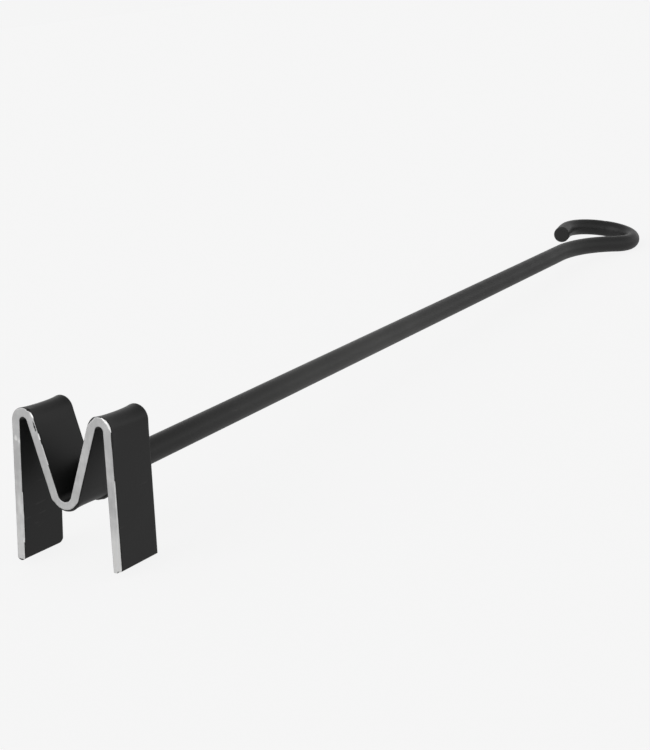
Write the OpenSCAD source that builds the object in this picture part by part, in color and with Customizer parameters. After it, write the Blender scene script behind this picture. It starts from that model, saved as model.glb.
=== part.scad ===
// Hand-forged marking iron: a flat bar bent into the letter M, butt-welded to a
// round-bar shank whose far end is rolled into a hanging loop.
// Millimetres. +X across the letter, +Y from the marking face along the shank,
// +Z towards the letter's tops. Origin on the marking face, middle of the V's bend.

/* [Flat bar] */
// thickness of the flat bar
bar_t = 3; // [2:0.1:5]
// depth of the flat bar, marking face to rear edge, after grinding
bar_w = 17.6; // [12:0.1:30]

/* [Letter] */
// width over the outsides of the two top bends
letter_top_w = 37.1; // [28:0.1:60]
// distance between the feet, mid-line to mid-line
foot_spread = 36.8; // [24:0.1:62]
// height from the top of the bends to the shorter (right) foot
letter_h = 45.8; // [36:0.1:80]
// how much further down the left leg reaches
left_leg_extra = 2.4; // [0:0.1:3]
// height from the V's bend centre to the top bends' centres
v_depth = 20.3; // [14:0.1:40]
// mid-line radius of the two top bends
top_bend_r = 2.9; // [2:0.1:6]
// mid-line radius of the V's bend
v_bend_r = 4; // [2:0.1:6]
// sideways skew of the bent letter: tops to the left, feet to the right (negative, the other way)
letter_skew = -0.25; // [-1:0.05:1]

/* [Shank] */
// diameter of the round bar
rod_d = 8.2; // [6:0.1:12]
// straight length of the shank from the letter's rear edges
shank_len = 328.7; // [200:0.1:500]
// where the shank's axis meets the rear edges, to the right of the V's middle
rod_x = 1.8; // [-3:0.1:3]
// the same, above the V's bend centre
rod_rise = 2.3; // [0:0.1:6]
// sideways angle of the shank
shank_yaw = 6; // [-8:0.1:8]
// upward angle of the shank
shank_pitch = 5.5; // [-8:0.1:8]

/* [Hanging loop] */
// roll of the loop's plane about the shank
loop_roll = 9.7; // [-30:0.1:30]
// mid-line radius of the easy outward set before the loop
set_r = 62.6; // [40:0.1:120]
// angle of that set
set_angle = 36.6; // [15:0.1:45]
// straight length between the set and the tight bend
set_flat = 4; // [2:0.1:20]
// mid-line radius of the tight bend at the loop's far end
tight_r = 15.7; // [8:0.1:25]
// angle of the tight bend
tight_angle = 145; // [90:0.1:160]
// straight length between the two bends of the loop
back_flat = 1.5; // [1:0.1:20]
// mid-line radius of the wider bend that brings the end back
return_r = 18.4; // [10:0.1:30]
// angle of the wider bend
return_angle = 84.4; // [60:0.1:110]
// straight length at the cut end
tip_flat = 9.3; // [3:0.1:20]
// chamfer left by dressing the cut end
tip_chamfer = 0.4; // [0.2:0.1:1]

/* [Weld] */
// size of the weld's round section
bead_r = 2.4; // [2:0.1:4]
// size of the drops of the run that wraps under the V
run_r = 2.7; // [2:0.1:4]
// how far apart those drops lie, going forward from the rear edges
run_step = 1.5; // [1:0.1:2.5]

/* [Hidden] */
$fn = 64;
// facets in each bend of the bar
arc_n = 30;
// bends of the rod swell this much and take this much of the straights
swell = 0.02;
overlap = 0.4;
half_t = bar_t / 2;
// centres of the bends, feet on the mid-line
v_c = [0, v_bend_r];
top_z = v_c[1] + v_depth;
top_dx = letter_top_w / 2 - top_bend_r - half_t;
left_c = [-letter_skew - top_dx, top_z];
right_c = [-letter_skew + top_dx, top_z];
foot_z = top_z + top_bend_r + half_t - letter_h;
left_foot = [letter_skew - foot_spread / 2, foot_z - left_leg_extra];
right_foot = [letter_skew + foot_spread / 2, foot_z];
// bead positions follow the rod and the bar
rod_z = v_c[1] + rod_rise;
collar_r = rod_d / 2 + 0.5;
run_z = half_t - 1.2;

// unit vector and its left-hand perpendicular
function unit(v) = v / norm(v);
function perp(v) = [-v[1], v[0]];
// normal of the line tangent to two circles; signed radii, + keeps the centre on the right
function tangent_n(a, ra, b, rb) =
    let (d = b - a, k = (ra - rb) / norm(d), u = unit(d))
    k * u + sqrt(1 - k * k) * perp(u);

n_left = tangent_n(left_foot, 0, left_c, top_bend_r);
n_down = tangent_n(left_c, top_bend_r, v_c, -v_bend_r);
n_up = tangent_n(v_c, -v_bend_r, right_c, top_bend_r);
n_right = tangent_n(right_c, top_bend_r, right_foot, 0);

// points on an arc about c from unit normal n1 to n2, radius r
function arc_pts(c, r, n1, n2) =
    let (a1 = atan2(n1[1], n1[0]), d = n2 - n1, full = 2 * asin(norm(d) / 2))
    let (s = sign(n1[0] * n2[1] - n1[1] * n2[0]))
    [for (i = [0:arc_n]) c + r * [cos(a1 + s * full * i / arc_n), sin(a1 + s * full * i / arc_n)]];

// one side of the bent strip, off = distance to the left of its mid-line
function side_pts(off) = concat(
    [left_foot + off * n_left],
    arc_pts(left_c, top_bend_r + off, n_left, n_down),
    arc_pts(v_c, v_bend_r - off, -n_down, -n_up),
    arc_pts(right_c, top_bend_r + off, n_up, n_right),
    [right_foot + off * n_right]
);
function reversed(v) = [for (i = [len(v) - 1:-1:0]) v[i]];

// the letter's outline, one continuous strip
module letter_outline() {
    polygon(concat(side_pts(half_t), reversed(side_pts(-half_t))));
}

// flat bar bent on edge into the letter; the face at y = 0 does the marking
module letter_band() {
    color([0.16, 0.16, 0.16])
    translate([0, bar_w, 0])
    rotate([90, 0, 0])
    linear_extrude(height = bar_w)
    letter_outline();
}

// where the shank starts, with its own axes: Y along it, X towards the loop's outward set
module shank_frame() {
    translate([rod_x, bar_w, rod_z])
    rotate([shank_pitch, 0, -shank_yaw])
    rotate([0, loop_roll, 0])
    children();
}

// straight round bar along +Y, let into the bends at either end
module rod_run(len) {
    translate([0, -overlap, 0]) rotate([-90, 0, 0]) cylinder(h = len + 2 * overlap, d = rod_d);
}

// round-bar bend that starts along +Y and turns right (side 1) or left (side -1)
module rod_bend(r, angle, side) {
    start = side > 0 ? 180 - angle : 0;
    translate([side * r, 0, 0])
    rotate([0, 0, start])
    rotate_extrude(angle = angle)
    translate([r, 0])
    circle(r = rod_d / 2 + swell);
}

// moves what follows to the end of such a bend
module past_bend(r, angle, side) {
    translate([side * r, 0, 0])
    rotate([0, 0, -side * angle])
    translate([-side * r, 0, 0])
    children();
}

// cut end of the rod, lightly dressed
module rod_tip() {
    straight = tip_flat - tip_chamfer + overlap;
    translate([0, -overlap, 0])
    rotate([-90, 0, 0])
    rotate_extrude()
    polygon([[0, 0], [rod_d / 2, 0], [rod_d / 2, straight], [rod_d / 2 - tip_chamfer, straight + tip_chamfer],
        [0, straight + tip_chamfer]]);
}

// the loop: easy outward set, tight bend, wider return bend, cut end
module loop() {
    rod_bend(set_r, set_angle, 1);
    past_bend(set_r, set_angle, 1) {
        rod_run(set_flat);
        translate([0, set_flat, 0]) {
            rod_bend(tight_r, tight_angle, -1);
            past_bend(tight_r, tight_angle, -1) {
                rod_run(back_flat);
                translate([0, back_flat, 0]) {
                    rod_bend(return_r, return_angle, -1);
                    past_bend(return_r, return_angle, -1) rod_tip();
                }
            }
        }
    }
}

// what lies in front of the letter's rear edges
module front_of_rear_edges() {
    translate([-rod_d * 2, bar_w - rod_d * 2, -rod_d]) cube([rod_d * 4, rod_d * 2, rod_d * 4]);
}

// the straight shank, its near end trimmed flush with the letter's rear edges
module shank() {
    difference() {
        shank_frame() translate([0, -bar_t, 0]) rod_run(shank_len + bar_t);
        front_of_rear_edges();
    }
}

// shank and hanging loop, one round bar
module handle_rod() {
    color([0.17, 0.17, 0.17]) {
        shank();
        shank_frame() translate([0, shank_len, 0]) loop();
    }
}

// weld metal before the bar and the rod are taken out of it
module bead_blank() {
    shank_frame()
    rotate([-90, 0, 0])
    translate([0, 0, bead_r * 0.3])
    rotate_extrude()
    translate([collar_r, 0])
    circle(r = bead_r);
    for (i = [0:2]) {
        translate([i * run_step / 2, bar_w + 0.3 - i * run_step, run_z]) sphere(r = run_r);
    }
}

// the weld: a collar round the shank's end and a run that wraps under the V
module weld_bead() {
    color([0.2, 0.2, 0.2])
    difference() {
        bead_blank();
        letter_band();
        shank();
    }
}

letter_band();
handle_rod();
weld_bead();
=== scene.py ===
"""Marking iron for hives.

A flat bar bent into a plain letter M, a round-bar shank whose far end is rolled into a hanging
loop, and the weld that joins the two. Sizes are in millimetres and meshes are written in metres.
"""

import logging
import math
from dataclasses import dataclass
from enum import Enum
from typing import Any, Mapping, Sequence

import bmesh
import bpy
import numpy as np
from mathutils import Matrix, Vector, noise

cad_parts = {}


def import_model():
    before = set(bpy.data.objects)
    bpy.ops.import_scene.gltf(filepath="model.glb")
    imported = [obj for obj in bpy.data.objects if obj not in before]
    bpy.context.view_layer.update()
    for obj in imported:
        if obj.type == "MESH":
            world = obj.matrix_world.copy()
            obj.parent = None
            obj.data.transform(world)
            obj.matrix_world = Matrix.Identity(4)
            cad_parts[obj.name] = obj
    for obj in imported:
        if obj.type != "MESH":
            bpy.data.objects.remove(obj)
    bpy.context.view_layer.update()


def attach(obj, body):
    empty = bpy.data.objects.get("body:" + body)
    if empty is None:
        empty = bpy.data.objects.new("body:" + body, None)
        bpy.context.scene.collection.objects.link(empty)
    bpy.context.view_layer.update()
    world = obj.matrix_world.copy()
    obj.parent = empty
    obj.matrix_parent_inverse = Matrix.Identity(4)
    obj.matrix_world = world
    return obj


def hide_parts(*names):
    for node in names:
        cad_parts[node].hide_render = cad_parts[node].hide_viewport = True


MM = 0.001
LOG = logging.getLogger("marking_iron")

# a Mix node has sockets of the same name for each data type; these are the colour ones
COLOUR_A = 6
COLOUR_B = 7
COLOUR_RESULT = 2
# how much of a finish's relief shows, on paint and on steel
BUMP_STRENGTH = 0.35


def linear(hex_code: str) -> tuple[float, float, float, float]:
    """Turn an sRGB hex colour into linear RGBA.

    Args:
        hex_code: Six hex digits, with or without a leading #.

    Returns:
        Linear red, green, blue and an alpha of one.
    """
    digits = hex_code.lstrip("#")
    channels = [int(digits[i : i + 2], 16) / 255 for i in (0, 2, 4)]
    red, green, blue = [
        c / 12.92 if c <= 0.04045 else ((c + 0.055) / 1.055) ** 2.4 for c in channels
    ]
    return red, green, blue, 1.0


def ramp(values: np.ndarray, low: float, high: float) -> np.ndarray:
    """Smooth step from 0 at low to 1 at high.

    Args:
        values: Numbers to map.
        low: Value that maps to 0.
        high: Value that maps to 1.

    Returns:
        The eased values, between 0 and 1.
    """
    t = np.clip((values - low) / (high - low), 0.0, 1.0)
    return t * t * (3 - 2 * t)


class BentPath:
    """A flat mid-line of straights and arcs, as a bar is bent.

    Args:
        start: First point, in mm.
        heading: First direction, in radians.
    """

    def __init__(self, start: Sequence[float], heading: float) -> None:
        """Start an empty path."""
        self.point = np.array(start, float)
        self.heading = heading
        self.moves: list[tuple[float, np.ndarray, float, float]] = []
        self.length = 0.0

    def straight(self, length: float) -> "BentPath":
        """Add a straight of the given length and return the path."""
        self.moves.append((self.length, self.point.copy(), self.heading, 0.0))
        self.point = self.point + length * self._along(self.heading)
        self.length += length
        return self

    def bend(self, radius: float, angle: float) -> "BentPath":
        """Add an arc.

        Args:
            radius: Mid-line radius in mm.
            angle: Turn in radians, positive to the left.

        Returns:
            The path.
        """
        turn = math.copysign(1 / radius, angle)
        self.moves.append((self.length, self.point.copy(), self.heading, turn))
        self.point, self.heading = self._on_arc(self.point, self.heading, turn, abs(angle) * radius)
        self.length += abs(angle) * radius
        return self

    @staticmethod
    def _along(heading: float) -> np.ndarray:
        """Return the unit vector of a heading."""
        return np.array([math.cos(heading), math.sin(heading)])

    @staticmethod
    def _on_arc(
        start: np.ndarray, heading: float, turn: float, run: float
    ) -> tuple[np.ndarray, float]:
        """Point and heading after a run along an arc.

        Args:
            start: First point of the arc.
            heading: Heading there.
            turn: Signed curvature, 1/mm.
            run: Distance along the arc.

        Returns:
            The point and the heading.
        """
        end = heading + turn * run
        side = np.array([math.sin(end) - math.sin(heading), math.cos(heading) - math.cos(end)])
        return start + side / turn, end

    def at(self, run: float) -> tuple[np.ndarray, float, float]:
        """Look up a place on the path.

        Args:
            run: Distance from the start, in mm; it may pass either end.

        Returns:
            The point, the heading in radians and the signed curvature.
        """
        begun = [m for m in self.moves if m[0] <= run] or self.moves[:1]
        begin, point, heading, turn = begun[-1]
        if turn == 0:
            return point + (run - begin) * self._along(heading), heading, 0.0
        place, end = self._on_arc(point, heading, turn, run - begin)
        return place, end, turn

    def stations(self, straight_step: float, bend_step: float) -> list[float]:
        """Distances at which to cut the path into rings.

        Args:
            straight_step: Spacing on straights, in mm.
            bend_step: Spacing on bends, in mm.

        Returns:
            Rising distances from 0 to the path's length.
        """
        ends = [m[0] for m in self.moves[1:]] + [self.length]
        cuts: list[float] = []
        for (begin, _, _, turn), end in zip(self.moves, ends):
            count = max(2, math.ceil((end - begin) / (bend_step if turn else straight_step)))
            cuts.extend(np.linspace(begin, end, count, endpoint=False))
        return cuts + [self.length]


def skin(
    name: str, rings: np.ndarray, closed_ends: bool = True, **marks: np.ndarray
) -> bpy.types.Object:
    """Make a mesh from closed rings of points, joined one to the next.

    Args:
        name: Object name.
        rings: Array of shape (rings, points, 3), in mm.
        closed_ends: Whether to close the first and last ring with a face.
        **marks: One value per point, kept on the mesh for its material.

    Returns:
        The new object, shaded smooth.
    """
    count, size = rings.shape[:2]
    here = np.arange(size)
    after = (here + 1) % size
    quads = [
        np.stack([i * size + here, i * size + after, (i + 1) * size + after, (i + 1) * size + here], 1)
        for i in range(count - 1)
    ]
    faces: list[Any] = np.concatenate(quads).tolist()
    if closed_ends:
        faces.append(here[::-1].tolist())
        faces.append((here + (count - 1) * size).tolist())
    mesh = bpy.data.meshes.new(name)
    mesh.from_pydata((rings.reshape(-1, 3) * MM).tolist(), [], faces)
    for mark, values in marks.items():
        layer = mesh.attributes.new(mark, "FLOAT", "POINT")
        layer.data.foreach_set("value", np.asarray(values, np.float32).reshape(-1))
    piece = bpy.data.objects.new(name, mesh)
    bpy.context.collection.objects.link(piece)
    tidy = bmesh.new()
    tidy.from_mesh(mesh)
    bmesh.ops.remove_doubles(tidy, verts=tidy.verts, dist=0.002 * MM)
    bmesh.ops.recalc_face_normals(tidy, faces=tidy.faces)
    tidy.to_mesh(mesh)
    tidy.free()
    mesh.shade_smooth()
    return piece


# ---------------------------------------------------------------- finishes


def add(
    tree: bpy.types.NodeTree,
    kind: str,
    settings: Mapping[str, Any] | None = None,
    inputs: Mapping[Any, Any] | None = None,
) -> bpy.types.Node:
    """Add a node with its settings, socket values and links.

    Args:
        tree: Node tree to add to.
        kind: Blender's node type.
        settings: Properties of the node.
        inputs: Socket name or index, with a value or an output socket to link from.

    Returns:
        The new node.
    """
    node = tree.nodes.new(kind)
    for key, value in (settings or {}).items():
        setattr(node, key, value)
    for key, value in (inputs or {}).items():
        if isinstance(value, bpy.types.NodeSocket):
            tree.links.new(value, node.inputs[key])
        else:
            node.inputs[key].default_value = value
    return node


def pattern(place: bpy.types.NodeSocket, size_mm: float, detail: float) -> dict[str, Any]:
    """Work out a noise's socket values from a real size.

    Args:
        place: Object coordinates, in metres.
        size_mm: Size of its swells.
        detail: How many finer layers it holds.

    Returns:
        Socket names with their values.
    """
    return {"Vector": place, "Scale": 1 / (size_mm * MM), "Detail": detail}


def new_material(name: str) -> tuple[bpy.types.Material, bpy.types.NodeTree]:
    """Make an empty node material and return it with its tree."""
    material = bpy.data.materials.new(name)
    material.use_nodes = True
    material.node_tree.nodes.clear()
    return material, material.node_tree


@dataclass(frozen=True)
class HeatPaint:
    """Heat-resistant silicone stove paint, sprayed: a dry, low-gloss black with fine orange peel.

    It looks neutral dark grey in soft light, turns a little lighter at grazing angles, and is
    thinner, so greyer, on sharp edges.
    """

    coat: str = "#1D1D1D"
    thin: str = "#3E3E3D"
    rub: str = "#6E6D6B"
    roughness: float = 0.4
    ior: float = 1.5
    gloss_level: float = 0.36
    # film thickness changes over a few centimetres, as a spray pass leaves it
    cloud_mm: float = 22.0
    # wear on an edge comes in specks of about a millimetre
    speck_mm: float = 1.1
    # a scuff is a line a few tenths of a millimetre wide, drawn up to 0.9 mm so that it shows
    scuff_width_mm: float = 0.9
    scuff_length_mm: float = 7.0
    scuff_patch_mm: float = 16.0
    scuff_strength: float = 0.1
    # orange peel has a pitch of 0.5 to 1 mm, and overspray dust lies on top of it
    peel_mm: float = 0.9
    grain_mm: float = 0.12
    sheen_patch_mm: float = 6.0
    bump_mm: float = 0.05

    def colour(self, tree: bpy.types.NodeTree, place: bpy.types.NodeSocket) -> bpy.types.NodeSocket:
        """Paint colour: clouded by dust and film thickness, thin on edges, with faint scuffs and a
        painted sheen.

        Args:
            tree: Material's node tree.
            place: Object coordinates, in metres.

        Returns:
            The colour output.
        """
        cloud = add(tree, "ShaderNodeTexNoise", None, pattern(place, self.cloud_mm, 3.0))
        tone = add(
            tree,
            "ShaderNodeMapRange",
            None,
            {
                "Value": cloud.outputs["Fac"],
                "From Min": 0.3,
                "From Max": 0.7,
                "To Min": 0.88,
                "To Max": 1.14,
            },
        )
        dull = add(
            tree,
            "ShaderNodeVectorMath",
            {"operation": "SCALE"},
            {0: linear(self.coat)[:3], "Scale": tone.outputs["Result"]},
        )
        handled = add(tree, "ShaderNodeAttribute", {"attribute_name": "handled"})
        edge = add(tree, "ShaderNodeAttribute", {"attribute_name": "edge"})
        speck = add(tree, "ShaderNodeTexNoise", None, pattern(place, self.speck_mm, 4.0))
        on_edge = add(
            tree,
            "ShaderNodeMath",
            {"operation": "MULTIPLY"},
            {0: edge.outputs["Fac"], 1: speck.outputs["Fac"]},
        )
        worn = add(
            tree,
            "ShaderNodeMapRange",
            {"interpolation_type": "SMOOTHSTEP"},
            {"Value": on_edge.outputs[0], "From Min": 0.3, "From Max": 0.75, "To Max": 0.7},
        )
        # a painted sheen lightens the coat where the mesh marks it, edges wear through it, and a rack
        # scuffs it
        layers = (
            (handled.outputs["Fac"], self.thin),
            (worn.outputs["Result"], self.thin),
            (self._scuffs(tree, place), self.rub),
        )
        colour = dull.outputs[0]
        for amount, over in layers:
            mix = add(
                tree,
                "ShaderNodeMix",
                {"data_type": "RGBA"},
                {"Factor": amount, COLOUR_A: colour, COLOUR_B: linear(over)},
            )
            colour = mix.outputs[COLOUR_RESULT]
        return colour

    def _scuffs(self, tree: bpy.types.NodeTree, place: bpy.types.NodeSocket) -> bpy.types.NodeSocket:
        """Mask of sparse short scratches.

        Args:
            tree: Material's node tree.
            place: Object coordinates.

        Returns:
            The mask output, from 0 to the scuffs' strength.
        """
        narrow = 1 / (self.scuff_width_mm * MM)
        lengthwise = 1 / (self.scuff_length_mm * MM)
        turned = add(
            tree,
            "ShaderNodeMapping",
            None,
            {"Vector": place, "Rotation": (0.4, 0.5, 0.7), "Scale": (narrow, lengthwise, narrow)},
        )
        streaks = {"Vector": turned.outputs[0], "Scale": 1.0, "Detail": 1.0}
        lines = add(tree, "ShaderNodeTexNoise", None, streaks)
        sparse = add(tree, "ShaderNodeTexNoise", None, pattern(place, self.scuff_patch_mm, 0.0))
        near = add(
            tree,
            "ShaderNodeMapRange",
            {"interpolation_type": "SMOOTHSTEP"},
            {"Value": lines.outputs["Fac"], "From Min": 0.66, "From Max": 0.74},
        )
        some = add(
            tree,
            "ShaderNodeMapRange",
            {"interpolation_type": "SMOOTHSTEP"},
            {
                "Value": sparse.outputs["Fac"],
                "From Min": 0.53,
                "From Max": 0.64,
                "To Max": self.scuff_strength,
            },
        )
        both = add(
            tree,
            "ShaderNodeMath",
            {"operation": "MULTIPLY"},
            {0: near.outputs["Result"], 1: some.outputs["Result"]},
        )
        return both.outputs[0]

    def relief(self, tree: bpy.types.NodeTree, place: bpy.types.NodeSocket) -> bpy.types.NodeSocket:
        """Orange peel with dry overspray grain on top.

        Args:
            tree: Material's node tree.
            place: Object coordinates.

        Returns:
            The height output.
        """
        peel = add(tree, "ShaderNodeTexNoise", None, pattern(place, self.peel_mm, 2.0))
        grain = add(tree, "ShaderNodeTexNoise", None, pattern(place, self.grain_mm, 1.0))
        both = add(
            tree,
            "ShaderNodeMath",
            {"operation": "MULTIPLY_ADD"},
            {0: grain.outputs["Fac"], 1: 0.3, 2: peel.outputs["Fac"]},
        )
        return both.outputs[0]

    def material(self, name: str) -> bpy.types.Material:
        """Make the paint as a material of its own.

        Args:
            name: Material name.

        Returns:
            The material.
        """
        material, tree = new_material(name)
        place = add(tree, "ShaderNodeTexCoord").outputs["Object"]
        bump = add(
            tree,
            "ShaderNodeBump",
            None,
            {
                "Height": self.relief(tree, place),
                "Strength": BUMP_STRENGTH,
                "Distance": self.bump_mm * MM,
            },
        )
        sheen = add(tree, "ShaderNodeTexNoise", None, pattern(place, self.sheen_patch_mm, 2.0))
        rough = add(
            tree,
            "ShaderNodeMapRange",
            None,
            {
                "Value": sheen.outputs["Fac"],
                "To Min": self.roughness - 0.07,
                "To Max": self.roughness + 0.09,
            },
        )
        shade = add(
            tree,
            "ShaderNodeBsdfPrincipled",
            None,
            {
                "Base Color": self.colour(tree, place),
                "Roughness": rough.outputs["Result"],
                "IOR": self.ior,
                "Specular IOR Level": self.gloss_level,
                "Normal": bump.outputs["Normal"],
            },
        )
        add(tree, "ShaderNodeOutputMaterial", None, {"Surface": shade.outputs["BSDF"]})
        return material


@dataclass(frozen=True)
class GroundSteel:
    """Mild steel faced on a belt grinder: bright and soft, with fine straight scratches.

    The scratches run across the face at a slant and break up its reflections.
    """

    bright: str = "#F6F6F5"
    dull: str = "#CCCCCC"
    roughness: float = 0.34
    # 80 grit leaves lines about 0.2 mm apart, drawn at 0.35 mm so that they show
    grit_mm: float = 0.35
    # how far a line reaches into the face and along the belt
    stroke_mm: tuple[float, float] = (2.0, 9.0)
    slant_degrees: float = 35.0
    # dull patches are a few millimetres across, where the belt pressed less
    patch_mm: float = 3.0
    patch_contrast: float = 0.24

    def lines(self, tree: bpy.types.NodeTree, place: bpy.types.NodeSocket) -> bpy.types.NodeSocket:
        """Fine straight grinding scratches.

        Args:
            tree: Material's node tree.
            place: Object coordinates.

        Returns:
            The noise output, stretched along the belt's direction.
        """
        depth_mm, length_mm = self.stroke_mm
        belt = add(
            tree,
            "ShaderNodeMapping",
            None,
            {
                "Vector": place,
                "Rotation": (0.0, math.radians(self.slant_degrees), 0.0),
                "Scale": tuple(1 / (mm * MM) for mm in (self.grit_mm, depth_mm, length_mm)),
            },
        )
        scratches = {"Vector": belt.outputs[0], "Scale": 1.0, "Detail": 3.0}
        return add(tree, "ShaderNodeTexNoise", None, scratches).outputs["Fac"]

    def colour(
        self, tree: bpy.types.NodeTree, place: bpy.types.NodeSocket, lines: bpy.types.NodeSocket
    ) -> bpy.types.NodeSocket:
        """Steel colour: brighter where the mesh's tone and painted highlight mark is high, duller in
        patches.

        Args:
            tree: Material's node tree.
            place: Object coordinates.
            lines: Grinding scratches.

        Returns:
            The colour output.
        """
        patch = add(tree, "ShaderNodeTexNoise", None, pattern(place, self.patch_mm, 3.0))
        both = add(
            tree,
            "ShaderNodeMath",
            {"operation": "MULTIPLY_ADD"},
            {0: lines, 1: 0.35, 2: patch.outputs["Fac"]},
        )
        swing = add(
            tree,
            "ShaderNodeMapRange",
            {"clamp": False},
            {
                "Value": both.outputs[0],
                "From Min": 0.45,
                "From Max": 0.9,
                "To Min": -self.patch_contrast,
                "To Max": self.patch_contrast,
            },
        )
        # this mark holds the steel's tone and its painted highlights on bright chamfers and glints
        fresh = add(tree, "ShaderNodeAttribute", {"attribute_name": "fresh"})
        amount = add(
            tree,
            "ShaderNodeMath",
            {"operation": "ADD", "use_clamp": True},
            {0: swing.outputs["Result"], 1: fresh.outputs["Fac"]},
        )
        mixed = add(
            tree,
            "ShaderNodeMix",
            {"data_type": "RGBA"},
            {
                "Factor": amount.outputs[0],
                COLOUR_A: linear(self.dull),
                COLOUR_B: linear(self.bright),
            },
        )
        return mixed.outputs[COLOUR_RESULT]


@dataclass(frozen=True)
class GroundBar:
    """Painted flat bar whose front edge was ground bare after painting, with a ragged border."""

    paint: HeatPaint
    steel: GroundSteel
    # the paint tore off in notches of about a millimetre
    ragged_mm: float = 0.9

    def material(self, name: str) -> bpy.types.Material:
        """Make the two finishes as one material, parted by the mesh's bare mark.

        Args:
            name: Material name.

        Returns:
            The material.
        """
        material, tree = new_material(name)
        place = add(tree, "ShaderNodeTexCoord").outputs["Object"]
        lines = self.steel.lines(tree, place)
        mark = add(tree, "ShaderNodeAttribute", {"attribute_name": "bare"})
        ragged = add(tree, "ShaderNodeTexNoise", None, pattern(place, self.ragged_mm, 3.0))
        border = add(
            tree,
            "ShaderNodeMath",
            {"operation": "MULTIPLY_ADD"},
            {0: ragged.outputs["Fac"], 1: 0.7, 2: mark.outputs["Fac"]},
        )
        bare = add(
            tree,
            "ShaderNodeMapRange",
            {"interpolation_type": "SMOOTHSTEP"},
            {"Value": border.outputs[0], "From Min": 0.78, "From Max": 0.92},
        ).outputs["Result"]
        colour = add(
            tree,
            "ShaderNodeMix",
            {"data_type": "RGBA"},
            {
                "Factor": bare,
                COLOUR_A: self.paint.colour(tree, place),
                COLOUR_B: self.steel.colour(tree, place, lines),
            },
        )
        steel_rough = add(
            tree,
            "ShaderNodeMapRange",
            None,
            {
                "Value": lines,
                "To Min": self.steel.roughness - 0.08,
                "To Max": self.steel.roughness + 0.1,
            },
        )
        rough = add(
            tree,
            "ShaderNodeMix",
            {"data_type": "FLOAT"},
            {"Factor": bare, "A": self.paint.roughness, "B": steel_rough.outputs["Result"]},
        )
        height = add(
            tree,
            "ShaderNodeMix",
            {"data_type": "FLOAT"},
            {"Factor": bare, "A": self.paint.relief(tree, place), "B": lines},
        )
        bump = add(
            tree,
            "ShaderNodeBump",
            None,
            {
                "Height": height.outputs[0],
                "Strength": BUMP_STRENGTH,
                "Distance": self.paint.bump_mm * MM,
            },
        )
        shade = add(
            tree,
            "ShaderNodeBsdfPrincipled",
            None,
            {
                "Base Color": colour.outputs[COLOUR_RESULT],
                "Metallic": bare,
                "Roughness": rough.outputs[0],
                "IOR": self.paint.ior,
                "Specular IOR Level": self.paint.gloss_level,
                "Normal": bump.outputs["Normal"],
            },
        )
        add(tree, "ShaderNodeOutputMaterial", None, {"Surface": shade.outputs["BSDF"]})
        return material


@dataclass(frozen=True)
class WhitenedPaper:
    """Matt white paper that glows like a light table, so that only a faint shadow is left on it.

    A studio cheat, not a real surface: the camera sees it glow more than it lights the tool.
    """

    tone: str = "#585858"
    seen_glow: float = 0.865
    thrown_glow: float = 0.44
    roughness: float = 1.0

    def material(self, name: str) -> bpy.types.Material:
        """Make the paper.

        Args:
            name: Material name.

        Returns:
            The material.
        """
        material, tree = new_material(name)
        seen = add(tree, "ShaderNodeLightPath").outputs["Is Camera Ray"]
        glow = add(
            tree,
            "ShaderNodeMapRange",
            None,
            {"Value": seen, "To Min": self.thrown_glow, "To Max": self.seen_glow},
        )
        shade = add(
            tree,
            "ShaderNodeBsdfPrincipled",
            None,
            {
                "Base Color": linear(self.tone),
                "Roughness": self.roughness,
                "Specular IOR Level": 0.0,
                "Emission Color": (1.0, 1.0, 1.0, 1.0),
                "Emission Strength": glow.outputs[0],
            },
        )
        add(tree, "ShaderNodeOutputMaterial", None, {"Surface": shade.outputs["BSDF"]})
        return material


# ---------------------------------------------------------------- the letter


class Stretch(Enum):
    """Stretches of the bent bar, in order from the left foot."""

    LEFT_LEG = 0
    LEFT_TOP = 1
    DOWN_STROKE = 2
    VEE = 3
    UP_STROKE = 4
    RIGHT_TOP = 5
    RIGHT_LEG = 6


class Side(Enum):
    """Sides of the bar: the outside of the two top bends, or the inside."""

    OUTER = 1
    INNER = -1


class Dressing(Enum):
    """What the grinder did to an edge of the marking face."""

    PAINTED_LIP = 0
    # BRIGHT_CHAMFER: ground bare, and its steel painted brighter as a painted highlight
    BRIGHT_CHAMFER = 1


@dataclass(frozen=True)
class EdgeMark:
    """One place where the marking face's edge differs from the rest.

    Begin and end are shares of the stretch, and width is in mm.
    """

    stretch: Stretch
    begin: float
    end: float
    side: Side
    dressing: Dressing
    width: float


@dataclass(frozen=True)
class Spot:
    """A soft oval spot on the marking face, in mm: where along the bar, and where across it."""

    run: float
    across: float
    long: float
    wide: float
    strength: float

    def weigh(self, run: float, u: np.ndarray) -> np.ndarray:
        """Strength of the spot at points across the bar.

        Args:
            run: Distance along the bar.
            u: Place of each point through the thickness.

        Returns:
            One number per point.
        """
        along = ((run - self.run) / self.long) ** 2
        return self.strength * np.exp(-along - ((u - self.across) / self.wide) ** 2)


@dataclass(frozen=True)
class Swell:
    """A slow change of brightness along the marking face, round a place in mm."""

    run: float
    long: float
    strength: float

    def weigh(self, run: float) -> float:
        """Return the strength of the swell at a distance along the bar."""
        return self.strength * math.exp(-(((run - self.run) / self.long) ** 2))


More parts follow.
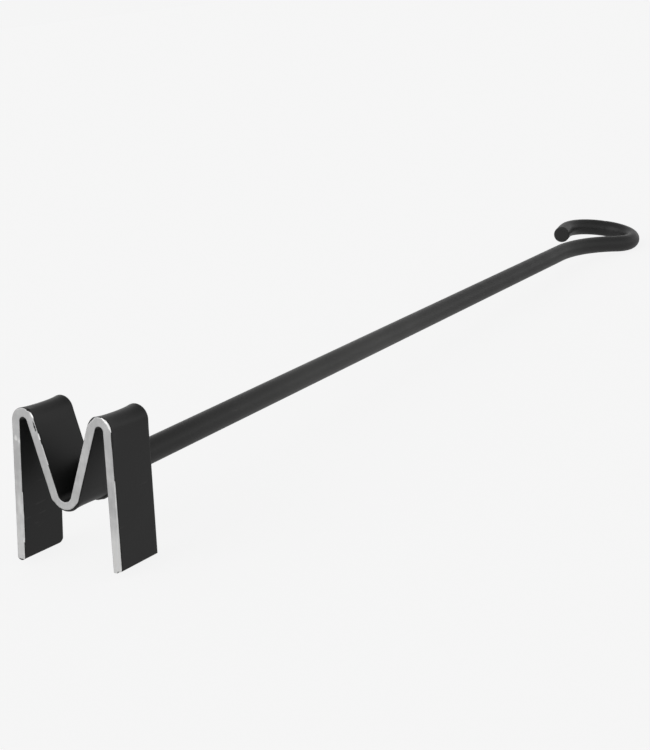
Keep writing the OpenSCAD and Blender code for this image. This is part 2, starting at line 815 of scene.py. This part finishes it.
@dataclass
class LetterBand:
    """The letter: one flat bar bent the easy way, its front edge the marking face.

    All sizes are in mm, and distances along the bar run from the left foot.
    """

    bar_t: float = 3.0
    bar_w: float = 17.6
    letter_top_w: float = 37.1
    foot_spread: float = 36.8
    letter_h: float = 45.8
    left_leg_extra: float = 1.8
    v_depth: float = 20.3
    top_bend_r: float = 2.9
    v_bend_r: float = 4.0
    letter_skew: float = -0.25
    # flat bar leaves the mill with its corners a little round
    mill_round: float = 0.22
    # bending spreads the bar's two edges outwards, the rear one more, and bulges its inside
    flare: float = 0.42
    flare_reach: float = 4.0
    rear_flare: float = 1.5
    rear_bulge: float = 0.12
    # the left foot's rear corner was cut round, which draws the foot up over a short length
    corner_cut: float = 1.8
    corner_reach: float = 6.0
    # grinding drew the front of the left foot to a round tongue, and the right one askew
    left_tongue: float = 0.6
    right_askew: float = 0.35
    tongue_depth: float = 0.9
    # a foot's last rings shrink towards the middle of the bar, and close it
    cap_shares: tuple[float, ...] = (0.0, 0.5, 0.93)
    cap_inset: float = 0.15
    straight_step: float = 0.7
    bend_step: float = 0.25
    face_steps: int = 5
    edge_steps: int = 5
    side_steps: int = 22
    rear_steps: int = 3
    marks: Sequence[EdgeMark] = ()
    # painted highlights: spots where the steel is painted brighter, two high on the left leg, two
    # lower down, and one on the V's bend
    glints: Sequence[Spot] = (
        Spot(run=38.0, across=0.25, long=0.42, wide=0.45, strength=3.2),
        Spot(run=37.2, across=-1.2, long=0.5, wide=0.4, strength=1.6),
        Spot(run=18.0, across=-0.2, long=2.4, wide=0.7, strength=0.5),
        Spot(run=15.2, across=-1.0, long=1.0, wide=0.7, strength=0.7),
        Spot(run=81.0, across=0.0, long=6.0, wide=1.5, strength=0.3),
    )
    # a hollow on the down-stroke that the grinder missed, so that paint stayed in it
    hollow: Spot = Spot(run=53.8, across=0.8, long=2.3, wide=0.42, strength=0.85)
    up_stroke_swell: Swell = Swell(run=97.0, long=9.0, strength=0.2)
    # this one is measured back from the right foot
    right_top_swell: Swell = Swell(run=47.0, long=7.0, strength=-0.35)

    def path(self) -> BentPath:
        """Mid-line of the bar, from the left foot to the right foot, in X and Z.

        Returns:
            The path.
        """
        half_t = self.bar_t / 2
        top_z = self.v_bend_r + self.v_depth
        top_dx = self.letter_top_w / 2 - self.top_bend_r - half_t
        foot_z = top_z + self.top_bend_r + half_t - self.letter_h
        # centre and signed radius of each bend; the feet are bends of no radius
        stops = [
            ((self.letter_skew - self.foot_spread / 2, foot_z - self.left_leg_extra), 0.0),
            ((-self.letter_skew - top_dx, top_z), self.top_bend_r),
            ((0.0, self.v_bend_r), -self.v_bend_r),
            ((-self.letter_skew + top_dx, top_z), self.top_bend_r),
            ((self.letter_skew + self.foot_spread / 2, foot_z), 0.0),
        ]
        headings: list[float] = []
        lengths: list[float] = []
        for (a, ra), (b, rb) in zip(stops, stops[1:]):
            gap = np.subtract(b, a)
            reach = float(np.hypot(*gap))
            headings.append(math.atan2(gap[1], gap[0]) - math.asin((ra - rb) / reach))
            lengths.append(math.sqrt(reach**2 - (ra - rb) ** 2))
        bent = BentPath(stops[0][0], headings[0]).straight(lengths[0])
        for i, (_, radius) in enumerate(stops[1:-1]):
            turn = (headings[i + 1] - headings[i] + math.pi) % (2 * math.pi) - math.pi
            if radius > 0 and turn > 0:
                turn -= 2 * math.pi
            if radius < 0 and turn < 0:
                turn += 2 * math.pi
            bent.bend(abs(radius), turn).straight(lengths[i + 1])
        return bent

    def edge_width(self, path: BentPath, run: float, side: Side) -> tuple[float, float, bool]:
        """How wide the marking face's edge is rounded or ground off at a place.

        Args:
            path: The bar's mid-line.
            run: Distance along it.
            side: Which edge.

        Returns:
            The width in mm, how far a burr stands out there, and whether it is ground bare.
        """
        width = 0.2 + 0.06 * noise.noise(Vector((run / 4, side.value * 3.1, 0)))
        burr, bare = 0.0, False
        ends = [m[0] for m in path.moves[1:]] + [path.length]
        for mark in self.marks:
            if mark.side is not side:
                continue
            begin, end = path.moves[mark.stretch.value][0], ends[mark.stretch.value]
            low, high = begin + mark.begin * (end - begin), begin + mark.end * (end - begin)
            fade = min(1.2, (high - low) / 3)
            amount = float(ramp(np.array(min(run - low, high - run)), 0, fade))
            if amount > 0:
                width += (mark.width - width) * amount
                bare = mark.dressing is Dressing.BRIGHT_CHAMFER
                burr = 0.0 if bare else 0.35 * mark.width * amount
        return width, burr, bare

    def section(self, path: BentPath, run: float) -> np.ndarray:
        """Outline of the bar at a place, and its marks.

        Args:
            path: The bar's mid-line.
            run: Distance along it.

        Returns:
            Rows of thickness and depth in mm, then the bare mark, the edge mark, and the mark of steel
            tone with painted highlights.
        """
        half, width = self.bar_t / 2, self.bar_w
        outline: list[tuple[float, ...]] = []
        for side in (Side.INNER, Side.OUTER):
            lip, burr, ground = self.edge_width(path, run, side)
            s = side.value
            front: list[tuple[float, ...]] = []
            for k in range(self.face_steps + 1):
                front.append((s * (half - lip) * k / self.face_steps, 0.0, 1.0, 0.0, 0.0))
            for k in range(1, self.edge_steps + 1):
                share = k / self.edge_steps
                a = math.pi / 2 * share
                du, dy = (share, 0.4 * share) if ground else (math.sin(a), 1 - math.cos(a))
                mark = 1.0 if ground and k < self.edge_steps else (0.0 if k > 1 else 0.4)
                # a ground chamfer gets a painted highlight: its steel's brightness mark is raised
                worn, chamfer_highlight = (0.0, 0.85) if ground else (0.4, 0.0)
                out = half - lip + lip * du + burr * share
                front.append((s * out, lip * 1.1 * dy, mark, worn, chamfer_highlight))
            y_front = lip * (0.45 if ground else 1.1)
            y_back = width - self.mill_round
            for k in range(1, self.side_steps):
                t = k / self.side_steps
                near = t - 0.16 * math.sin(2 * math.pi * t) / math.pi
                y = y_front + (y_back - y_front) * near
                front.append((s * (half + burr * math.exp(-(y - y_front) / 1.5)), y, 0.0, 0.0, 0.0))
            for a in np.linspace(0, math.pi / 2, 5):
                out = half - self.mill_round * (1 - math.cos(a))
                front.append((s * out, y_back + self.mill_round * math.sin(a), 0.0, 1.0, 0.0))
            for k in range(1, self.rear_steps + 1):
                out = (half - self.mill_round) * (1 - k / self.rear_steps)
                front.append((s * out, width, 0.0, 0.2, 0.0))
            outline.extend(front[::-1][1:] if side is Side.INNER else front[1:])
        return np.array(outline)

    def freshness(self, path: BentPath, run: float) -> float:
        """How bright the marking face's steel is made at a place: brightest at the two feet.

        Args:
            path: The bar's mid-line.
            run: Distance along it.

        Returns:
            About 0 where dull and 1 or more where bright.
        """
        from_right = path.length - run
        drift = 0.1 + 0.12 * noise.noise(Vector((run / 9, 8.1, 0)))
        low_left = 0.75 * float(ramp(np.array(run), 26, 8))
        low_right = 1.3 * float(ramp(np.array(from_right), 19, 3))
        swells = self.up_stroke_swell.weigh(run) + self.right_top_swell.weigh(from_right)
        return drift + low_left + low_right + swells

    def rings(self) -> tuple[np.ndarray, np.ndarray]:
        """Rings of points that follow the bent bar, with its saddle-shaped bends.

        Returns:
            Rings in mm, and the bare mark, the edge mark, and the mark of steel tone with painted
            highlights of each point.
        """
        path = self.path()
        ends = (0.0, path.length)
        stations = path.stations(self.straight_step, self.bend_step)
        stations = sorted(stations + [self.cap_inset, path.length - self.cap_inset])
        rings, marks = [], []
        order = [(ends[0], share) for share in self.cap_shares]
        order += [(run, 1.0) for run in stations]
        order += [(ends[1], share) for share in self.cap_shares[::-1]]
        for run, shrink in order:
            u, y, bare, edge, fresh = self.section(path, run).T
            bend = self._curl(path, run)
            across = u / self.bar_t * 2
            front = np.exp(-y / self.flare_reach)
            rear = self.rear_flare * np.exp(-(self.bar_w - y) / self.flare_reach)
            u_out = u - bend * self.flare * (1 - front - rear)
            y_out = y - bend * self.rear_bulge * across * ramp(y, self.bar_w - 3, self.bar_w)
            if run in ends:
                u_out = u_out * (shrink if shrink < 1 else 0.985)
            run_at = self._foot_run(path, run, across, y, shrink)
            ring = np.zeros((len(u), 3))
            for k in range(len(u)):
                point, heading, _ = path.at(float(run_at[k]))
                normal = np.array([-math.sin(heading), math.cos(heading)])
                ring[k, [0, 2]] = point + u_out[k] * normal
                ring[k, 1] = y_out[k]
            rings.append(ring)
            if run in ends:
                edge = np.maximum(edge, 1.0 if shrink >= 0.9 else 0.0)
            fresh = np.maximum(fresh, self.freshness(path, run))
            # painted highlights: the glints raise the steel's brightness mark
            fresh = fresh + sum(glint.weigh(run, u) for glint in self.glints)
            bare = np.clip(bare - self.hollow.weigh(run, u), 0, 1)
            marks.append(np.stack([bare, edge, fresh], 1))
        return np.array(rings), np.array(marks)

    def _curl(self, path: BentPath, run: float) -> float:
        """How sharply the bar is bent near a place, softened over 3 mm and signed."""
        near = [path.at(min(max(run + d, 0), path.length))[2] for d in np.linspace(-1.5, 1.5, 7)]
        return -float(np.mean(near)) * self.top_bend_r

    def _foot_run(
        self, path: BentPath, run: float, across: np.ndarray, y: np.ndarray, shrink: float
    ) -> np.ndarray:
        """Distance along the bar of a ring's points, which near a foot follow its cut outline.

        Args:
            path: The bar's mid-line.
            run: The ring's distance.
            across: Place of each point through the thickness, from -1 to 1.
            y: Depth of each point.
            shrink: The ring's share of full thickness.

        Returns:
            One distance per point.
        """
        run_at = np.full_like(y, run)
        if run < self.corner_reach:
            past = np.clip((y - (self.bar_w - self.corner_cut)) / self.corner_cut, 0, 1)
            lift = self.corner_cut * (1 - np.sqrt(1 - np.minimum(past, 0.97) ** 2))
            run_at = run_at + lift * (1 - run / self.corner_reach)
        tongue = np.exp(-y / self.tongue_depth)
        if run == 0.0:
            run_at = run_at - self.left_tongue * (1 - across**2) * tongue
        if run == path.length:
            run_at = run_at + self.right_askew * (1 - across) * tongue
        if run in (0.0, path.length) and shrink < 1:
            inward = 0.06 if shrink > 0.9 else 0.08
            run_at = run_at - inward if run == 0.0 else run_at + inward
        return run_at

    def build(self, finish: GroundBar) -> bpy.types.Object:
        """Make the letter and dress it.

        Args:
            finish: Paint with its ground face.

        Returns:
            The piece.
        """
        rings, marks = self.rings()
        piece = skin(
            "letter_bar", rings, False, bare=marks[..., 0], edge=marks[..., 1], fresh=marks[..., 2]
        )
        piece.data.materials.append(finish.material("stove_painted_bar_with_ground_face"))
        return piece


# ---------------------------------------------------------------- the shank and its loop


@dataclass
class HandleRod:
    """The shank: one round bar, its far end set outwards and rolled into a hanging loop.

    Sizes are in mm and angles in degrees.
    """

    rod_d: float = 8.2
    shank_len: float = 328.7
    rod_x: float = 1.8
    rod_z: float = 6.3
    start_y: float = 17.6
    shank_yaw: float = 6.0
    shank_pitch: float = 5.5
    loop_roll: float = 9.7
    set_r: float = 62.6
    set_angle: float = 36.6
    set_flat: float = 4.0
    tight_r: float = 15.7
    tight_angle: float = 145.0
    back_flat: float = 1.5
    return_r: float = 18.4
    return_angle: float = 84.4
    tip_flat: float = 9.3
    tip_chamfer: float = 0.45
    # rolling flattens the bar a little across a bend
    flatten: float = 0.03
    # a painted sheen lightens the coat round this distance from the letter
    handled_at: float = 135.0
    handled_reach: float = 75.0
    handled_amount: float = 0.8
    around: int = 56

    def frame(self) -> Matrix:
        """Place of the shank: Y along it, X towards the loop's outward set, in mm."""
        turn = (
            Matrix.Rotation(-math.radians(self.shank_yaw), 4, "Z")
            @ Matrix.Rotation(math.radians(self.shank_pitch), 4, "X")
            @ Matrix.Rotation(math.radians(self.loop_roll), 4, "Y")
        )
        return Matrix.Translation((self.rod_x, self.start_y, self.rod_z)) @ turn

    def path(self) -> BentPath:
        """Mid-line of the rod in the loop's plane.

        Returns:
            The path.
        """
        return (
            BentPath((0, 0), math.pi / 2)
            .straight(self.shank_len)
            .bend(self.set_r, -math.radians(self.set_angle))
            .straight(self.set_flat)
            .bend(self.tight_r, math.radians(self.tight_angle))
            .straight(self.back_flat)
            .bend(self.return_r, math.radians(self.return_angle))
            .straight(self.tip_flat)
        )

    def build(self, finish: HeatPaint) -> bpy.types.Object:
        """Make the rod and dress it.

        Args:
            finish: Its paint.

        Returns:
            The piece.
        """
        path = self.path()
        place = self.frame()
        radius = self.rod_d / 2
        angles = np.linspace(0, 2 * math.pi, self.around, endpoint=False)
        stations = [(run, 1.0) for run in path.stations(2.0, 0.5)[:-1]]
        tip = path.length
        # the sawn end: a dressed, slightly rounded rim and a flat that dips in the middle
        rim = [(tip - self.tip_chamfer, 1.0), (tip - 0.22, 0.985), (tip - 0.05, 0.945), (tip, 0.88)]
        stations += rim + [(tip - 0.01, 0.6), (tip - 0.02, 0.1)]
        rings, edges, handled = [], [], []
        for run, share in stations:
            point, heading, turn = path.at(min(run, tip))
            side = np.array([math.sin(heading), -math.cos(heading)])
            squash = self.flatten * min(1.0, abs(turn) * self.tight_r)
            ring = []
            for a in angles:
                across = radius * share * (1 - squash) * math.cos(a)
                up = radius * share * (1 + squash * 0.5) * math.sin(a)
                flat = point + across * side
                ring.append(place @ Vector((flat[0], flat[1], up)))
            rings.append([tuple(p) for p in ring])
            edges.append(np.full(self.around, 0.9 if 0.9 < share < 1 else 0.0))
            # painted sheen: the coat is painted lighter along the shank's middle
            uneven = 1 + 0.3 * noise.noise(Vector((run / 14, 2.2, 0)))
            far = (run - self.handled_at) / self.handled_reach
            sheen_here = self.handled_amount * uneven * math.exp(-(far**2))
            handled.append(np.full(self.around, sheen_here))
        shape = np.array(rings)
        # the near end is trimmed flush with the letter's rear edges
        shape[:, :, 1] = np.maximum(shape[:, :, 1], self.start_y)
        piece = skin("shank_and_loop", shape, True, edge=np.array(edges), handled=np.array(handled))
        piece.data.materials.append(finish.material("stove_painted_round_bar"))
        return piece


# ---------------------------------------------------------------- the weld


@dataclass
class WeldBead:
    """The weld: overlapping drops laid round the shank's end and wrapped under the V.

    Sizes are in mm.
    """

    rod: HandleRod
    collar_r: float = 4.6
    collar_rise: float = 0.7
    drop_size: tuple[float, float, float] = (1.9, 1.75, 1.3)
    pitch: float = 1.25
    lean_degrees: float = 28.65
    run_squash: tuple[float, float, float] = (1.0, 0.95, 0.9)
    voxel: float = 0.2
    # centre and radius of each drop of the run that goes under the V
    run_drops: Sequence[tuple[float, float, float, float]] = (
        (5.0, 18.2, 4.2, 2.1),
        (4.2, 17.8, 2.9, 2.2),
        (3.2, 17.1, 1.8, 2.3),
        (2.2, 16.4, 0.9, 2.5),
        (1.2, 15.6, 0.3, 2.6),
        (0.3, 14.8, 0.1, 2.5),
        (-0.5, 14.2, 0.2, 2.1),
    )

    def drops(self) -> list[Matrix]:
        """Placement of every drop of weld metal, in mm.

        Returns:
            One matrix per drop, from a unit sphere.
        """
        place = self.rod.frame()
        count = round(2 * math.pi * self.collar_r / self.pitch)
        lean = Matrix.Rotation(math.radians(self.lean_degrees), 4, "X")
        placed: list[Matrix] = []
        for i in range(count):
            a = 2 * math.pi * i / count
            swell = 1 + 0.08 * noise.noise(Vector((i * 0.9, 4.2, 0)))
            at = Matrix.Translation(
                (self.collar_r * math.cos(a), self.collar_rise, self.collar_r * math.sin(a))
            )
            size = Matrix.Diagonal((*(s * swell for s in self.drop_size), 1))
            placed.append(place @ at @ Matrix.Rotation(-a, 4, "Y") @ lean @ size)
        for x, y, z, r in self.run_drops:
            size = Matrix.Diagonal((*(r * share for share in self.run_squash), 1))
            placed.append(Matrix.Translation((x, y, z)) @ size)
        return placed

    def build(self, finish: HeatPaint) -> bpy.types.Object:
        """Make the weld and dress it.

        Args:
            finish: Its paint.

        Returns:
            The piece.
        """
        lump = bmesh.new()
        for drop in self.drops():
            bmesh.ops.create_icosphere(
                lump, subdivisions=3, radius=1, matrix=Matrix.Scale(MM, 4) @ drop
            )
        mesh = bpy.data.meshes.new("weld_metal")
        lump.to_mesh(mesh)
        lump.free()
        piece = bpy.data.objects.new("weld_metal", mesh)
        bpy.context.collection.objects.link(piece)
        # the drops melt into one skin with soft ripples between them
        melt = piece.modifiers.new("melt", "REMESH")
        melt.mode = "VOXEL"
        melt.voxel_size = self.voxel * MM
        melt.use_smooth_shade = True
        soften = piece.modifiers.new("soften", "SMOOTH")
        soften.iterations = 3
        piece.data.materials.append(finish.material("stove_painted_weld"))
        return piece


# ---------------------------------------------------------------- the studio


@dataclass
class Studio:
    """Plain pale floor, soft light and the camera.

    The floor's span is in metres; the other places are in mm, and angles in degrees.
    """

    floor_span: float = 30.0
    # the letter lies nearer than the first distance, and the loop beyond the second
    letter_ends: float = 25.0
    loop_begins: float = 200.0
    horizon_light: float = 0.915
    zenith_light: float = 0.28
    key_light: float = 0.6
    key_spread: float = 50.0
    key_from: tuple[float, float, float] = (-0.5, -0.8, 0.35)
    camera_at: tuple[float, float, float] = (238.7, -270.2, 113.5)
    camera_heading: float = 29.0655
    camera_dip: float = 12.1217
    camera_roll: float = 1.3052
    lens_mm: float = 60.02
    sensor_mm: float = 36.0

    def floor(self, pieces: Sequence[bpy.types.Object]) -> bpy.types.Object:
        """Lay the floor under the tool as it lies: on its two feet and its loop.

        Args:
            pieces: Meshes of the letter and the rod.

        Returns:
            The floor.
        """
        points = np.concatenate(
            [np.array([v.co[:] for v in piece.data.vertices]) for piece in pieces]
        )
        letter = points[points[:, 1] < self.letter_ends * MM]
        left = letter[letter[:, 0] < 0]
        right = letter[letter[:, 0] > 0]
        tail = points[points[:, 1] > self.loop_begins * MM]
        up = np.array([0.0, 0.0, 1.0])
        for _ in range(6):
            a, b, c = (group[np.argmin(group @ up)] for group in (left, right, tail))
            up = np.cross(b - a, c - a)
            up /= np.linalg.norm(up) * math.copysign(1, up[2])
        half = self.floor_span / 2
        mesh = bpy.data.meshes.new("floor")
        corners = [(-half, -half, 0), (half, -half, 0), (half, half, 0), (-half, half, 0)]
        mesh.from_pydata(corners, [], [(0, 1, 2, 3)])
        floor = bpy.data.objects.new("floor", mesh)
        turn = Vector((0, 0, 1)).rotation_difference(Vector(up.tolist()))
        floor.matrix_world = Matrix.Translation(Vector(a.tolist())) @ turn.to_matrix().to_4x4()
        bpy.context.collection.objects.link(floor)
        mesh.materials.append(WhitenedPaper().material("whitened_paper"))
        return floor

    def light(self) -> None:
        """Set a white surround that dims overhead, and one broad key from the front left."""
        world = bpy.data.worlds.new("white_tent")
        world.use_nodes = True
        tree = world.node_tree
        tree.nodes.clear()
        height = add(
            tree,
            "ShaderNodeSeparateXYZ",
            None,
            {0: add(tree, "ShaderNodeTexCoord").outputs["Generated"]},
        )
        level = add(
            tree,
            "ShaderNodeMapRange",
            {"interpolation_type": "SMOOTHSTEP"},
            {
                "Value": height.outputs["Z"],
                "From Min": 0.1,
                "From Max": 0.9,
                "To Min": self.horizon_light,
                "To Max": self.zenith_light,
            },
        )
        glow = add(
            tree,
            "ShaderNodeBackground",
            None,
            {"Color": (1, 1, 1, 1), "Strength": level.outputs["Result"]},
        )
        add(tree, "ShaderNodeOutputWorld", None, {"Surface": glow.outputs[0]})
        bpy.context.scene.world = world
        lamp = bpy.data.lights.new("key", "SUN")
        lamp.energy = self.key_light
        lamp.angle = math.radians(self.key_spread)
        key = bpy.data.objects.new("key", lamp)
        key.rotation_euler = Vector(self.key_from).to_track_quat("Z", "Y").to_euler()
        bpy.context.collection.objects.link(key)
        bpy.context.scene.view_settings.view_transform = "Standard"

    def camera(self) -> bpy.types.Object:
        """Place the camera: low, to the right of the letter, looking along the shank.

        Returns:
            The camera.
        """
        lens = bpy.data.cameras.new("camera")
        lens.sensor_width = self.sensor_mm
        lens.lens = self.lens_mm
        lens.clip_start = 0.01
        lens.clip_end = 200.0
        camera = bpy.data.objects.new("camera", lens)
        # a camera looks along its own -Z, so a quarter turn stands it up before it dips
        turn = (
            Matrix.Rotation(math.radians(self.camera_heading), 4, "Z")
            @ Matrix.Rotation(math.radians(90 - self.camera_dip), 4, "X")
            @ Matrix.Rotation(-math.radians(self.camera_roll), 4, "Z")
        )
        camera.matrix_world = Matrix.Translation(Vector(self.camera_at) * MM) @ turn
        bpy.context.collection.objects.link(camera)
        bpy.context.scene.camera = camera
        return camera


GROUND_EDGES = (
    EdgeMark(Stretch.LEFT_LEG, 0.12, 0.36, Side.INNER, Dressing.BRIGHT_CHAMFER, 0.65),
    EdgeMark(Stretch.LEFT_LEG, 0.33, 0.5, Side.INNER, Dressing.BRIGHT_CHAMFER, 0.35),
    EdgeMark(Stretch.LEFT_TOP, 0.66, 0.77, Side.OUTER, Dressing.PAINTED_LIP, 0.55),
    EdgeMark(Stretch.LEFT_TOP, 0.79, 0.98, Side.OUTER, Dressing.BRIGHT_CHAMFER, 0.5),
    EdgeMark(Stretch.DOWN_STROKE, 0.19, 0.28, Side.OUTER, Dressing.BRIGHT_CHAMFER, 0.5),
    EdgeMark(Stretch.DOWN_STROKE, 0.34, 0.6, Side.OUTER, Dressing.BRIGHT_CHAMFER, 0.12),
    EdgeMark(Stretch.VEE, 0.05, 1.0, Side.INNER, Dressing.PAINTED_LIP, 0.75),
    EdgeMark(Stretch.RIGHT_TOP, 0.0, 0.36, Side.OUTER, Dressing.PAINTED_LIP, 0.75),
    EdgeMark(Stretch.RIGHT_TOP, 0.53, 0.98, Side.OUTER, Dressing.BRIGHT_CHAMFER, 0.62),
    EdgeMark(Stretch.RIGHT_LEG, 0.0, 0.12, Side.OUTER, Dressing.PAINTED_LIP, 0.35),
    EdgeMark(Stretch.RIGHT_LEG, 0.34, 1.0, Side.OUTER, Dressing.BRIGHT_CHAMFER, 0.5),
)


def main() -> None:
    """Build the tool piece by piece, then the studio round it."""
    logging.basicConfig(level=logging.INFO, format="%(name)s: %(message)s")
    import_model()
    paint = HeatPaint()
    letter = LetterBand(marks=GROUND_EDGES)
    rod_paint = HeatPaint(coat="#2C2C2C", thin="#4C4C4B", gloss_level=0.3)
    rod = HandleRod()
    built: list[bpy.types.Object] = []
    for piece, node, slot in (
        (letter.build(GroundBar(paint, GroundSteel())), "letter_band", "black_paint"),
        (rod.build(rod_paint), "handle_rod", "rod_paint"),
        (WeldBead(rod).build(paint), "weld_bead", "weld_paint"),
    ):
        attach(piece, "root")
        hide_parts(node)
        built.append(piece)
        LOG.info("%s stands for %s, %d points", piece.name, node, len(piece.data.vertices))
    studio = Studio()
    studio.floor(built[:2])
    studio.light()
    studio.camera()


if __name__ == "__main__":
    main()
